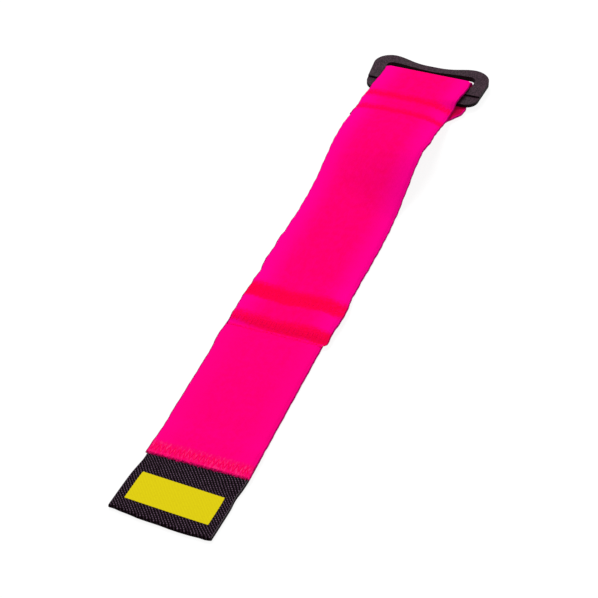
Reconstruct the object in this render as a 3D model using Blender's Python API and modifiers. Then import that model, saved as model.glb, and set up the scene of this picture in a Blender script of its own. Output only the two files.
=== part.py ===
"""A hook and loop cable tie with a moulded cinch ring, laid out on a flat surface."""
import math

import bmesh
import bpy
from mathutils import Matrix

MM = 0.001

# Lengths run along the tie from the cut end of the hook tape, towards the ring
GAP = 0.3 * MM
TAPE_THICKNESS = 1.8 * MM
HOOK_WIDTH = 50.8 * MM
HOOK_LENGTH = 127.0 * MM
LOOP_WIDTH = 51.6 * MM
LAP_LENGTH = 30.0 * MM
LAP_RAMP = 18.0 * MM
RING_DISTANCE = 319.9 * MM

# The grab tab is one strip of twill, folded at its near edge
TAB_WIDTH = 50.8 * MM
TAB_LENGTH = 37.6 * MM
TAB_PLY = 1.0 * MM
TAB_PLY_GAP = 0.15 * MM
TAB_LAP = 14.5 * MM
TAB_RAMP = 12.0 * MM
TAB_TURN = math.radians(3.1)
TAB_TURN_LENGTH = 10.0 * MM

# The coloured panel printed on the tab
PANEL_WIDTH = 41.4 * MM
PANEL_HEIGHT = 17.5 * MM
PANEL_THICKNESS = 0.2 * MM
PANEL_MARGIN = 6.8 * MM
PANEL_SEAT = 0.1 * MM

# The ring: its far bar, its slot, the rail that carries the fold, and the thinner plate beside it
RING_WIDTH = 70.0 * MM
RING_THICKNESS = 3.1 * MM
RING_EDGE_RADIUS = 0.7 * MM
FAR_BAR_WIDTH = 5.3 * MM
SLOT_LENGTH = 54.0 * MM
SLOT_OPENING = 9.7 * MM
SLOT_FAR_CORNER = 3.5 * MM
SLOT_NEAR_CORNER = 3.0 * MM
SLOT_BOW = 2.2 * MM
RAIL_WIDTH = 6.4 * MM
PLATE_WIDTH = 9.4 * MM
PLATE_RECESS = 1.0 * MM
LOBE_RADIUS = 10.6 * MM
LOBE_REACH = 4.6 * MM
WAIST_INSET = 1.3 * MM
NEAR_CORNER = 7.8 * MM
RING_SEAT = 0.2 * MM
RING_TURN = math.radians(0.6)

# The fold of the loop tape round the rail, and its tail, which is sewn under the tape
FOLD_SLACK = 1.9 * MM
TAIL_PAST_ROW = 6.5 * MM
TAIL_JOG_START = 14.0 * MM
TAIL_JOG_LENGTH = 26.0 * MM

# How the tie lies: an arch before the ring, higher and earlier on its right edge
LEFT_ARCH_HEIGHT = 8.9 * MM
LEFT_ARCH_START = 108.0 * MM
LEFT_ARCH_PEAK = 52.0 * MM
LEFT_SEWN_HEIGHT = 4.2 * MM
RIGHT_ARCH_HEIGHT = 12.4 * MM
RIGHT_ARCH_START = 118.0 * MM
RIGHT_ARCH_PEAK = 65.0 * MM
RIGHT_SEWN_HEIGHT = 2.5 * MM
CROWN_HEIGHT = 3.0 * MM
CROWN_LENGTH = 105.0 * MM

# Sideways places of the centre lines, to the left of the ring's own centre line
HOOK_SIDE = 3.3 * MM
LOOP_SIDE = 2.5 * MM
FOLD_SIDE = 0.4 * MM
TAIL_SIDE = -2.9 * MM
TAIL_END_SIDE = 4.0 * MM

# The rows of zigzag stitches
THREAD_RADIUS = 0.25 * MM
STITCH_PITCH = 2.4 * MM
STITCH_THROW = 5.6 * MM
ROW_MARGIN = 1.6 * MM
TAB_ROW = 4.3 * MM
LAP_ROW_FROM_END = 4.8 * MM
RING_ROW_GAP = 10.2 * MM
RING_ROW_SPACING = 17.9 * MM

# How finely the tapes are divided
ACROSS = 8
LONG_STEP = 3.6 * MM
SHORT_STEP = 1.8 * MM
FOLD_STEPS = 12
CORNER_STEPS = 6
BAR_STEPS = 8

# Places worked out from the sizes above
RING_LENGTH = PLATE_WIDTH + RAIL_WIDTH + SLOT_OPENING + FAR_BAR_WIDTH
LOBE_SIDE = RING_WIDTH / 2 - LOBE_RADIUS
LOBE_ALONG = RING_LENGTH + LOBE_REACH - LOBE_RADIUS
RING_TIP = RING_DISTANCE + RING_LENGTH + LOBE_REACH + LOBE_SIDE * math.sin(RING_TURN)
TAB_TIP = TAB_LENGTH * math.cos(TAB_TURN) + TAB_WIDTH / 2 * math.sin(TAB_TURN)
MIDDLE = (RING_TIP - TAB_TIP) / 2
RING_BOTTOM = TAPE_THICKNESS + RING_SEAT
RING_TOP = RING_BOTTOM + RING_THICKNESS
LOOP_START = HOOK_LENGTH - LAP_LENGTH
FOLD_CENTRE = RING_DISTANCE + PLATE_WIDTH + RAIL_WIDTH + FOLD_SLACK
OVER_RING = RING_TOP + GAP
RING_ROW = RING_DISTANCE - RING_ROW_GAP
SEWN_END = RING_ROW + STITCH_THROW / 2
RING_ENTRY = RING_DISTANCE - 1.0 * MM
TAIL_END = RING_ROW - RING_ROW_SPACING - TAIL_PAST_ROW
TAIL_JOG = RING_ROW - TAIL_JOG_START


def ease(t):
    """Runs smoothly from 0 to 1 as t does, and stays level outside."""
    t = min(max(t, 0.0), 1.0)
    return t * t * (3.0 - 2.0 * t)


def mix(a, b, t):
    return a + (b - a) * t


def edge_lift(along, start, peak, height, sewn_height):
    """Height of one edge of the loop tape in the arch; start and peak are measured back from the ring."""
    start_at = RING_DISTANCE - start
    peak_at = RING_DISTANCE - peak
    if along < peak_at:
        return height * ease((along - start_at) / (peak_at - start_at))
    return mix(height, sewn_height, ease((along - peak_at) / (SEWN_END - peak_at)))


def loop_side(along):
    """Centre line of the top run of the loop tape, to the left of the ring's centre."""
    return mix(LOOP_SIDE, FOLD_SIDE, ease((along - RING_ROW) / (FOLD_CENTRE - RING_ROW)))


def loop_height(along, across):
    """Middle of the tape's thickness on the top run; across is 1 on the left edge and -1 on the right."""
    across = min(max(across, -1.0), 1.0)
    left = edge_lift(along, LEFT_ARCH_START, LEFT_ARCH_PEAK, LEFT_ARCH_HEIGHT, LEFT_SEWN_HEIGHT)
    right = edge_lift(along, RIGHT_ARCH_START, RIGHT_ARCH_PEAK, RIGHT_ARCH_HEIGHT, RIGHT_SEWN_HEIGHT)
    lap = (TAPE_THICKNESS + GAP) * (1.0 - ease((along - HOOK_LENGTH - GAP) / LAP_RAMP))
    crown = CROWN_HEIGHT * ease((along - HOOK_LENGTH) / CROWN_LENGTH)
    free = lap + mix(right, left, (across + 1.0) / 2.0) + crown * (1.0 - across * across)
    onto_ring = ease((along - SEWN_END) / (RING_ENTRY - SEWN_END))
    return mix(free, OVER_RING, onto_ring) + TAPE_THICKNESS / 2


def tail_side(along):
    """Centre line of the folded-back tail, sewn on askew: its end is out to the left, and its fold to the right."""
    out = mix(TAIL_END_SIDE, TAIL_SIDE, ease((along - TAIL_JOG) / TAIL_JOG_LENGTH))
    return mix(out, FOLD_SIDE, 0.5 * ease((along - RING_DISTANCE) / (FOLD_CENTRE - RING_DISTANCE)))


def tail_height(along, across):
    """Middle of the tape's thickness on the tail: flat under the ring, then against the top run."""
    left_of_ring = tail_side(along) + across * LOOP_WIDTH / 2
    above = (left_of_ring - loop_side(along)) / (LOOP_WIDTH / 2)
    sewn = loop_height(along, above) - TAPE_THICKNESS - GAP
    return mix(sewn, TAPE_THICKNESS / 2, ease((along - SEWN_END) / (RING_ENTRY - SEWN_END)))


def steps(start, end, step):
    """Evenly spaced values from start to end, both included."""
    count = max(1, round(abs(end - start) / step))
    return [mix(start, end, i / count) for i in range(count + 1)]


def place(along, left, height):
    """A point of the tie in the frame of the part."""
    return (along - MIDDLE, left, height)


def material(name, colour, roughness):
    made = bpy.data.materials.new(name)
    made.use_nodes = True
    shader = made.node_tree.nodes["Principled BSDF"]
    shader.inputs["Base Color"].default_value = (*colour, 1.0)
    shader.inputs["Roughness"].default_value = roughness
    shader.inputs["Metallic"].default_value = 0.0
    made.diffuse_color = (*colour, 1.0)
    return made


def add(name, data, look, collection):
    """Puts a mesh or curve in the scene as one named sub-part."""
    thing = bpy.data.objects.new(name, data)
    collection.objects.link(thing)
    if look:
        data.materials.append(look)
    return thing


def strip(name, rows, thickness, look, collection):
    """A strip of tape: a grid whose rows follow the path, given its thickness by Solidify."""
    mesh = bpy.data.meshes.new(name)
    shape = bmesh.new()
    long_count = len(rows) - 1
    bmesh.ops.create_grid(shape, x_segments=long_count, y_segments=ACROSS, size=1.0)
    for vert in shape.verts:
        row = rows[round((vert.co.x + 1.0) / 2.0 * long_count)]
        vert.co = row(round((vert.co.y + 1.0) / 2.0 * ACROSS) / ACROSS * 2.0 - 1.0)
    bmesh.ops.recalc_face_normals(shape, faces=shape.faces)
    shape.to_mesh(mesh)
    shape.free()
    mesh.shade_smooth()
    mesh.set_sharp_from_angle(angle=math.radians(40))
    tape = add(name, mesh, look, collection)
    wall = tape.modifiers.new("thickness", "SOLIDIFY")
    wall.thickness = thickness
    wall.offset = 0.0
    wall.use_even_offset = True
    return tape


def hook_tape(look, collection):
    """The near tape: its cut end lies on the tab, and the rest lies flat."""
    on_tab = TAB_PLY + GAP

    def row_at(along):
        height = on_tab * (1.0 - ease((along - TAB_LAP - GAP) / TAB_RAMP)) + TAPE_THICKNESS / 2
        return lambda across: place(along, HOOK_SIDE + across * HOOK_WIDTH / 2, height)

    ramp_end = TAB_LAP + TAB_RAMP + GAP
    stations = [0.0, *steps(TAB_LAP + GAP, ramp_end, SHORT_STEP), HOOK_LENGTH]
    return strip("hook_tape", [row_at(s) for s in stations], TAPE_THICKNESS, look, collection)


def loop_tape(look, collection):
    """The far tape: over the lap, along the arch, round the ring's rail and back underneath."""
    top_middle = OVER_RING + TAPE_THICKNESS / 2
    fold_radius = (top_middle - TAPE_THICKNESS / 2) / 2
    fold_height = top_middle - fold_radius

    def top_row(along):
        side = loop_side(along)
        return lambda across: place(along, side + across * LOOP_WIDTH / 2, loop_height(along, across))

    def fold_row(turn):
        along = FOLD_CENTRE + fold_radius * math.sin(turn)
        height = fold_height + fold_radius * math.cos(turn)
        side = mix(FOLD_SIDE, tail_side(FOLD_CENTRE), turn / math.pi)
        return lambda across: place(along, side + across * LOOP_WIDTH / 2, height)

    def tail_row(along):
        side = tail_side(along)
        return lambda across: place(along, side + across * LOOP_WIDTH / 2, tail_height(along, across))

    rows = [top_row(s) for s in steps(LOOP_START, SEWN_END, LONG_STEP)]
    rows += [top_row(s) for s in steps(SEWN_END, RING_ENTRY, SHORT_STEP)[1:]]
    rows += [top_row(s) for s in steps(RING_ENTRY, FOLD_CENTRE, LONG_STEP)[1:-1]]
    rows += [fold_row(math.pi * i / FOLD_STEPS) for i in range(FOLD_STEPS + 1)]
    rows += [tail_row(s) for s in steps(FOLD_CENTRE, RING_ENTRY, LONG_STEP)[1:]]
    rows += [tail_row(s) for s in steps(RING_ENTRY, SEWN_END, SHORT_STEP)[1:]]
    rows += [tail_row(s) for s in steps(SEWN_END, TAIL_END, LONG_STEP)[1:]]
    return strip("loop_tape", rows, TAPE_THICKNESS, look, collection)


def tab_point(along, across_left, height):
    """A point of the tab, which is turned a little to the left of the tie."""
    turned = ease(-along / TAB_TURN_LENGTH)
    sideways = HOOK_SIDE + max(-along, 0.0) * math.sin(TAB_TURN)
    back = min(along, 0.0) * math.cos(TAB_TURN) + max(along, 0.0)
    skew = across_left * math.sin(TAB_TURN) * turned
    return place(back + skew, sideways + across_left * mix(1.0, math.cos(TAB_TURN), turned), height)


def end_tab(look, collection):
    """The grab tab: the lower ply runs under the hook tape, the upper ply stops at its cut end."""
    fold_radius = (TAB_PLY + TAB_PLY_GAP) / 2
    lower = TAB_PLY / 2
    upper = lower + 2 * fold_radius
    fold_at = -TAB_LENGTH + fold_radius + TAB_PLY / 2

    def flat_row(along, height):
        return lambda across: tab_point(along, across * TAB_WIDTH / 2, height)

    def fold_row(turn):
        along = fold_at - fold_radius * math.sin(turn)
        height = lower + fold_radius - fold_radius * math.cos(turn)
        return flat_row(along, height)

    rows = [flat_row(s, lower) for s in (TAB_LAP, 0.0)]
    rows += [flat_row(s, lower) for s in steps(0.0, -TAB_TURN_LENGTH, LONG_STEP)[1:]]
    rows += [fold_row(math.pi * i / FOLD_STEPS) for i in range(FOLD_STEPS + 1)]
    rows += [flat_row(s, upper) for s in steps(-TAB_TURN_LENGTH, -GAP, LONG_STEP)]
    return strip("end_tab", rows, TAB_PLY, look, collection)


def printed_panel(look, collection):
    """The plain field of colour printed on the tab."""
    tab_top = 2 * TAB_PLY + TAB_PLY_GAP
    middle = -TAB_LENGTH + PANEL_MARGIN + PANEL_HEIGHT / 2
    bpy.ops.mesh.primitive_cube_add(size=1.0)
    panel = bpy.context.object
    panel.name = "printed_panel"
    panel.data.name = "printed_panel"
    panel.location = tab_point(middle, 0.0, tab_top + PANEL_SEAT + PANEL_THICKNESS / 2)
    panel.rotation_euler = (0.0, 0.0, -TAB_TURN)
    panel.scale = (PANEL_HEIGHT, PANEL_WIDTH, PANEL_THICKNESS)
    panel.data.materials.append(look)
    for old in panel.users_collection:
        old.objects.unlink(panel)
    collection.objects.link(panel)
    return panel


def arc(centre, radius, start, end, count):
    """Points of an arc in the ring's plan; angles run from the far direction towards the side."""
    turns = [math.radians(mix(start, end, i / count)) for i in range(count + 1)]
    return [(centre[0] + radius * math.cos(a), centre[1] + radius * math.sin(a)) for a in turns]


def mirrored(half):
    """A closed outline, anticlockwise, from its left half, which runs from the near side to the far side."""
    return [(x, -y) for x, y in half] + [(x, y) for x, y in reversed(half) if y > 1e-7]


def ring_outline():
    """Outer edge: rounded near corners, sides that widen to the lobes, and a hollow far bar."""
    near_side = RING_WIDTH / 2 - WAIST_INSET - NEAR_CORNER
    half = [(0.0, 0.0)]
    half += arc((NEAR_CORNER, near_side), NEAR_CORNER, 180, 96, CORNER_STEPS)
    half += arc((LOBE_ALONG, LOBE_SIDE), LOBE_RADIUS, 98, 0, 2 * CORNER_STEPS)
    for i in range(1, BAR_STEPS + 1):
        side = LOBE_SIDE * (1.0 - i / BAR_STEPS)
        half.append((RING_LENGTH + LOBE_REACH * ease(side / LOBE_SIDE), side))
    return mirrored(half)


def slot_outline():
    """The slot: straight along the rail, bowed along the far bar."""
    near = PLATE_WIDTH + RAIL_WIDTH
    far = near + SLOT_OPENING + SLOT_BOW
    end = SLOT_LENGTH / 2
    bow_side = end - SLOT_FAR_CORNER
    half = [(near, 0.0)]
    half += arc((near + SLOT_NEAR_CORNER, end - SLOT_NEAR_CORNER), SLOT_NEAR_CORNER, 180, 90, CORNER_STEPS)
    half += arc((far - SLOT_FAR_CORNER, bow_side), SLOT_FAR_CORNER, 90, 0, CORNER_STEPS)
    for i in range(1, BAR_STEPS + 1):
        side = bow_side * (1.0 - i / BAR_STEPS)
        half.append((far - SLOT_BOW * (1.0 - ease(side / bow_side)), side))
    return mirrored(half)


def cinch_ring(look, collection, cutters):
    """The moulded ring: a flat outline with rounded edges, and a thinner plate on its near side."""
    lobes = place(RING_DISTANCE + LOBE_ALONG, 0.0, (RING_BOTTOM + RING_TOP) / 2)
    turned = Matrix.Translation(lobes) @ Matrix.Rotation(RING_TURN, 4, "Z")
    to_near_edge = Matrix.Translation((-LOBE_ALONG, 0.0, 0.0))
    plan = bpy.data.curves.new("ring_plan", "CURVE")
    plan.dimensions = "2D"
    plan.fill_mode = "BOTH"
    plan.extrude = RING_THICKNESS / 2 - RING_EDGE_RADIUS
    plan.bevel_depth = RING_EDGE_RADIUS
    plan.bevel_resolution = 1
    plan.offset = -RING_EDGE_RADIUS
    for outline in (ring_outline(), slot_outline()):
        spline = plan.splines.new("POLY")
        spline.points.add(len(outline) - 1)
        for point, (x, y) in zip(spline.points, outline):
            point.co = (x, y, 0.0, 1.0)
        spline.use_cyclic_u = True
    drawn = add("ring_plan", plan, None, collection)
    drawn.matrix_world = turned @ to_near_edge
    bpy.context.view_layer.update()
    solid = drawn.evaluated_get(bpy.context.evaluated_depsgraph_get())
    mesh = bpy.data.meshes.new_from_object(solid)
    mesh.name = "cinch_ring"
    shape = bmesh.new()
    shape.from_mesh(mesh)
    bmesh.ops.remove_doubles(shape, verts=shape.verts, dist=0.005 * MM)
    bmesh.ops.recalc_face_normals(shape, faces=shape.faces)
    shape.to_mesh(mesh)
    shape.free()
    mesh.shade_smooth()
    mesh.set_sharp_from_angle(angle=math.radians(40))
    ring = add("cinch_ring", mesh, look, collection)
    ring.matrix_world = drawn.matrix_world
    bpy.data.objects.remove(drawn)

    bpy.ops.mesh.primitive_cube_add(size=1.0)
    recess = bpy.context.object
    recess.name = "plate_recess"
    size = Matrix.Diagonal((2 * PLATE_WIDTH, 2 * RING_WIDTH, 2 * PLATE_RECESS, 1.0))
    recess.matrix_world = turned @ to_near_edge @ Matrix.Translation((0.0, 0.0, RING_THICKNESS / 2)) @ size
    recess.hide_render = True
    recess.display_type = "WIRE"
    for old in recess.users_collection:
        old.objects.unlink(recess)
    cutters.objects.link(recess)
    cut = ring.modifiers.new("plate recess", "BOOLEAN")
    cut.operation = "DIFFERENCE"
    cut.object = recess
    return ring


def stitch_row(name, along, width, side, surface, look, collection):
    """One row of zigzag stitches, lying on the upper face of a tape."""
    length = width - 2 * ROW_MARGIN
    count = 2 * round(length / STITCH_PITCH)
    path = bpy.data.curves.new(name, "CURVE")
    path.dimensions = "3D"
    path.bevel_depth = THREAD_RADIUS
    path.bevel_resolution = 0
    path.use_fill_caps = True
    spline = path.splines.new("POLY")
    spline.points.add(count)
    for i, point in enumerate(spline.points):
        across = mix(length / 2, -length / 2, i / count)
        throw = STITCH_THROW / 2 if i % 2 else -STITCH_THROW / 2
        height = surface(along + throw, across / (width / 2)) + TAPE_THICKNESS / 2
        point.co = (*place(along + throw, side + across, height + GAP + THREAD_RADIUS), 1.0)
    return add(name, path, look, collection)


def build():
    for thing in list(bpy.data.objects):
        bpy.data.objects.remove(thing)
    tie = bpy.data.collections.new("hook_and_loop_cable_tie")
    cutters = bpy.data.collections.new("cutters")
    bpy.context.scene.collection.children.link(tie)
    bpy.context.scene.collection.children.link(cutters)

    hook_pink = material("hook_pink", (0.99, 0.0, 0.19), 0.8)
    loop_pink = material("loop_pink", (0.99, 0.0, 0.16), 0.9)
    thread_pink = material("thread_pink", (0.95, 0.0, 0.07), 0.6)
    tab_black = material("tab_black", (0.027, 0.015, 0.021), 0.85)
    panel_yellow = material("panel_yellow", (0.77, 0.64, 0.01), 0.6)
    ring_plastic = material("ring_plastic", (0.05, 0.032, 0.04), 0.5)

    hook_tape(hook_pink, tie)
    loop_tape(loop_pink, tie)
    end_tab(tab_black, tie)
    printed_panel(panel_yellow, tie)
    cinch_ring(ring_plastic, tie, cutters)

    def flat_hook(along, across):
        return TAB_PLY + GAP + TAPE_THICKNESS / 2

    lap_near = LOOP_START + LAP_ROW_FROM_END
    lap_far = HOOK_LENGTH - LAP_ROW_FROM_END
    rows = (
        ("tab_stitches", TAB_ROW, HOOK_WIDTH, HOOK_SIDE, flat_hook),
        ("lap_stitches_near", lap_near, LOOP_WIDTH, LOOP_SIDE, loop_height),
        ("lap_stitches_far", lap_far, LOOP_WIDTH, LOOP_SIDE, loop_height),
        ("ring_stitches_near", RING_ROW - RING_ROW_SPACING, LOOP_WIDTH, LOOP_SIDE, loop_height),
        ("ring_stitches_far", RING_ROW, LOOP_WIDTH, LOOP_SIDE, loop_height),
    )
    for name, along, width, side, surface in rows:
        stitch_row(name, along, width, side, surface, thread_pink, tie)


build()
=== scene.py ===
import math
import random

import bmesh
import bpy
from mathutils import Matrix, Vector


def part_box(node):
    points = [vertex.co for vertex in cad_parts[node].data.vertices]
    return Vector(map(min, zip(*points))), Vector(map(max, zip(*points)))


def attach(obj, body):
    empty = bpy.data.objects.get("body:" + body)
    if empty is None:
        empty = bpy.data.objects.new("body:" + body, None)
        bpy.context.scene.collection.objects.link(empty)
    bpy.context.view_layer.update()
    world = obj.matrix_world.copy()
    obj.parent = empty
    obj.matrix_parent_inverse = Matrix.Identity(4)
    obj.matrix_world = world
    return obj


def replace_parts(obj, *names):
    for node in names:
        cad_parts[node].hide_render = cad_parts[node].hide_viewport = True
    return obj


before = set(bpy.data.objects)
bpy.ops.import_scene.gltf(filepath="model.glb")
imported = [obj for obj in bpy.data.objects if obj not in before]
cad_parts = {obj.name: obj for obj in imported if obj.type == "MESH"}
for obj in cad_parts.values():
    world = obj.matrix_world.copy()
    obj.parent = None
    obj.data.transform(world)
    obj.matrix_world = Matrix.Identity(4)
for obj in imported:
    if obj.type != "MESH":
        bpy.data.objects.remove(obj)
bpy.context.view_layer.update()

# The studio is a plain pale floor that the tie lies on, soft light from behind and from the left,
# fill from all round, and the camera at the place that the photograph was taken from.
MM = 0.001
CAMERA_PLACE = Vector((-0.68183, -0.24245, 0.5843))
CAMERA_AIM = Vector((-0.02983, 0.00196, 0.0))
CAMERA_LENS = 108.36
SENSOR_WIDTH = 36.0
NEAREST_SEEN = 0.05
FILL_STRENGTH = 0.44
KEY_WATTS = 96.0
KEY_PLACE = Vector((2.0, 1.3, 2.7))
KEY_SIZE = 1.8
FLOOR_REACH = 3.0
FLOOR_DROP = 0.05 * MM
FLOOR_SHARE = 0.84
FLOOR_GLOW = 1.07


def feed(tree, socket, value):
    """Gives an input a constant, or links it to an output."""
    if isinstance(value, bpy.types.NodeSocket):
        tree.links.new(value, socket)
    else:
        socket.default_value = value


def node(tree, kind, options=None, **inputs):
    """Adds a shader node. Inputs are socket names, with _ for a space."""
    made = tree.nodes.new("ShaderNode" + kind)
    for name, value in (options or {}).items():
        setattr(made, name, value)
    for name, value in inputs.items():
        feed(tree, made.inputs[name.replace("_", " ")], value)
    return made


def calc(tree, operation, *values):
    """Adds a Math node and returns its result."""
    made = tree.nodes.new("ShaderNodeMath")
    made.operation = operation
    for socket, value in zip(made.inputs, values):
        feed(tree, socket, value)
    return made.outputs[0]


def new_finish(name):
    """An empty node material, and its tree."""
    made = bpy.data.materials.new(name)
    made.use_nodes = True
    made.node_tree.nodes.clear()
    return made, made.node_tree


def seen_directly(tree):
    """1 where the camera sees a thing straight, in a reflection or through glass."""
    rays = node(tree, "LightPath").outputs
    straight = calc(tree, "MAXIMUM", rays["Is Camera Ray"], rays["Is Glossy Ray"])
    return calc(tree, "MAXIMUM", straight, rays["Is Transmission Ray"])


def add_object(name, data):
    """Puts an object with this mesh, curve, lamp or camera in the scene."""
    made = bpy.data.objects.new(name, data)
    bpy.context.scene.collection.objects.link(made)
    return made


floor_finish, tree = new_finish("studio_floor")
paper = node(tree, "BsdfDiffuse", Color=(0.93, 0.93, 0.93, 1.0))
white = node(tree, "Emission", Color=(1.0, 1.0, 1.0, 1.0), Strength=FLOOR_GLOW)
share = calc(tree, "MULTIPLY", seen_directly(tree), FLOOR_SHARE)
floor_mix = node(tree, "MixShader", Fac=share)
tree.links.new(paper.outputs[0], floor_mix.inputs[1])
tree.links.new(white.outputs[0], floor_mix.inputs[2])
node(tree, "OutputMaterial", Surface=floor_mix.outputs[0])

shape = bmesh.new()
bmesh.ops.create_grid(shape, x_segments=1, y_segments=1, size=FLOOR_REACH)
bmesh.ops.translate(shape, verts=shape.verts, vec=(0.0, 0.0, -FLOOR_DROP))
floor_mesh = bpy.data.meshes.new("studio_floor")
shape.to_mesh(floor_mesh)
shape.free()
floor_mesh.materials.append(floor_finish)
floor = add_object("studio_floor", floor_mesh)

world = bpy.data.worlds.new("studio")
bpy.context.scene.world = world
world.use_nodes = True
tree = world.node_tree
tree.nodes.clear()
shown = node(tree, "Background", Color=(1.0, 1.0, 1.0, 1.0), Strength=1.0)
fill = node(tree, "Background", Color=(1.0, 1.0, 1.0, 1.0), Strength=FILL_STRENGTH)
sky_mix = node(tree, "MixShader", Fac=seen_directly(tree))
tree.links.new(fill.outputs[0], sky_mix.inputs[1])
tree.links.new(shown.outputs[0], sky_mix.inputs[2])
node(tree, "OutputWorld", Surface=sky_mix.outputs[0])

key = bpy.data.lights.new("key", "AREA")
key.shape = "DISK"
key.size = KEY_SIZE
key.energy = KEY_WATTS
key_lamp = add_object("key", key)
key_lamp.location = KEY_PLACE
key_lamp.rotation_euler = (-KEY_PLACE).to_track_quat("-Z", "Y").to_euler()

lens = bpy.data.cameras.new("camera")
lens.lens = CAMERA_LENS
lens.sensor_width = SENSOR_WIDTH
lens.clip_start = NEAREST_SEEN
camera = add_object("camera", lens)
camera.location = CAMERA_PLACE
camera.rotation_euler = (CAMERA_AIM - CAMERA_PLACE).to_track_quat("-Z", "Y").to_euler()
bpy.context.scene.camera = camera
bpy.context.scene.view_settings.view_transform = "Standard"


# The grab tab is one strip of black polyester twill, folded back on itself at the near edge.
# Its lower ply runs on under the hook tape, and both plies are caught by the zigzag row there.
GAP = 0.3 * MM
CUT_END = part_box("hook_tape")[0].x
TAB_WIDTH = 50.8 * MM
TAB_LENGTH = 37.6 * MM
TAB_PLY = 1.0 * MM
TAB_PLY_GAP = 0.15 * MM
TAB_LAP = 14.5 * MM
TAB_TURN = math.radians(3.1)
TAB_TURN_LENGTH = 10.0 * MM
TAB_STEP = 1.8 * MM
TAB_FOLD_STEPS = 12
HOOK_SIDE = 3.3 * MM
TWILL_PERIOD = 1.23
TWILL_ACROSS = 0.735
TWILL_ALONG = -0.675
NEAR_BOW = 1.25 * MM
BOW_SKEW = 0.45
BOW_LENGTH = 9.0 * MM
LEFT_PINCH = (1.1 * MM, 4.0 * MM, 9.0 * MM)
RIGHT_PINCH = (0.55 * MM, 11.0 * MM, 4.5 * MM)
FOLD_RIPPLES = ((0.20 * MM, 9.0, 0.8), (0.14 * MM, 23.0, 0.0))
# A painted highlight along the sealed edge of the twill, and painted shade on the side faces beside
# it, in millimetres from the tab's middle.
SEALED_HIGHLIGHT_FROM = (24.95, 25.1)
SEALED_HIGHLIGHT_TO = (25.34, 25.26)
EDGE_SHADE = (25.3, 25.38)
RIM_WIDTH = 1.1 * MM
# The rounding of a cloth's edge: distances from the edge, and shares of half the thickness.
EDGE_ROUND = [(0.0, 0.0), (0.10 * MM, 0.62), (0.30 * MM, 0.92)]
SIDE_STEP = 0.02
SKIN = 0.02 * MM
SAME_PLACE = 1e-7
CLOTH_CREASE = math.radians(50)


def ease(t):
    """Runs smoothly from 0 to 1 as t does, and stays level outside."""
    t = min(max(t, 0.0), 1.0)
    return t * t * (3.0 - 2.0 * t)


def mix(a, b, t):
    return a + (b - a) * t


def steps(start, end, step):
    """Evenly spaced values from start to end, both included."""
    count = max(1, round(abs(end - start) / step))
    return [mix(start, end, i / count) for i in range(count + 1)]


def waves(t, parts):
    """A sum of sine waves. Each part is its size, rate and start."""
    return sum(size * math.sin(t * rate + start) for size, rate, start in parts)


def place(along, left, height):
    """A point of the tie, by its distance from the hook tape's cut end."""
    return Vector((CUT_END + along, left, height))


def cloth_strip(name, rows, width, outer, inner, columns, crush=None):
    """A closed strip of cloth with rounded edges.

    rows are the stations: each gives a point of the middle surface, from across = -1 on the right
    edge to 1 on the left. outer and inner give the two faces' distance from it. columns are the
    distances of the section's points from the edge. The attribute weave holds millimetres across
    and along, then 1 on the outer face and on the near end and -1 on the inner face, falling to 0
    at the edges. The attribute crush holds how far the pile is pressed down.
    """
    half = width / 2
    right = EDGE_ROUND + [(d, 1.0) for d in columns]
    left = [(width - d, level) for d, level in reversed(right)]
    upper = right + [p for p in left if p[0] > right[-1][0] + SAME_PLACE]
    lower = [(d, -level) for d, level in reversed(upper[1:-1])]
    ring = upper + lower + upper[:1]

    lengths = [0.0]
    for before, after in zip(rows, rows[1:]):
        lengths.append(lengths[-1] + (after(0.0) - before(0.0)).length)

    shape = bmesh.new()
    weave = shape.verts.layers.float_vector.new("weave")
    pressed_and_shaded = shape.verts.layers.float.new("crush")
    long_count = len(rows) - 1
    round_count = len(ring) - 1
    bmesh.ops.create_grid(shape, x_segments=long_count, y_segments=round_count, size=1.0)
    for vert in shape.verts:
        i = round((vert.co.x + 1.0) / 2.0 * long_count)
        distance, level = ring[round((vert.co.y + 1.0) / 2.0 * round_count)]
        across = (distance - half) / half
        middle = rows[i](across)
        along = rows[min(i + 1, long_count)](across) - rows[max(i - 1, 0)](across)
        sideways = rows[i](across + SIDE_STEP) - rows[i](across - SIDE_STEP)
        out = along.cross(sideways).normalized()
        reach = mix(-inner(i, across), outer(i, across), (level + 1.0) / 2.0)
        vert.co = middle + out * reach
        inside = min(1.0, distance / RIM_WIDTH, (width - distance) / RIM_WIDTH)
        seen = level > 0.0 or i == 0
        vert[weave] = (across * half / MM, lengths[i] / MM, inside if seen else -inside)
        # The crush attribute also places the painted shade in the pressed pile.
        vert[pressed_and_shaded] = crush(i, across) if crush and seen else 0.0
    bmesh.ops.remove_doubles(shape, verts=shape.verts, dist=SAME_PLACE)
    open_edges = [e for e in shape.edges if e.is_boundary]
    bmesh.ops.holes_fill(shape, edges=open_edges, sides=0)
    bmesh.ops.recalc_face_normals(shape, faces=shape.faces)
    mesh = bpy.data.meshes.new(name)
    shape.to_mesh(mesh)
    shape.free()
    mesh.shade_smooth()
    mesh.set_sharp_from_angle(angle=CLOTH_CREASE)
    return add_object(name, mesh)


def new_group(name, inputs, outputs):
    """A node group with named sockets, and its input and output nodes."""
    group = bpy.data.node_groups.new(name, "ShaderNodeTree")
    kinds = {"value": "Float", "colour": "Color", "vector": "Vector"}
    for way, sockets in (("INPUT", inputs), ("OUTPUT", outputs)):
        for label, kind in sockets:
            group.interface.new_socket(
                name=label, in_out=way, socket_type="NodeSocket" + kinds[kind]
            )
    given = group.nodes.new("NodeGroupInput").outputs
    return group, given, group.nodes.new("NodeGroupOutput")


def blend_colours(tree, factor, a, b):
    """Mixes two colours and returns the result. The sockets are those of the colour mode."""
    made = tree.nodes.new("ShaderNodeMix")
    made.data_type = "RGBA"
    for socket, value in ((0, factor), (6, a), (7, b)):
        feed(tree, made.inputs[socket], value)
    return made.outputs[2]


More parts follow.
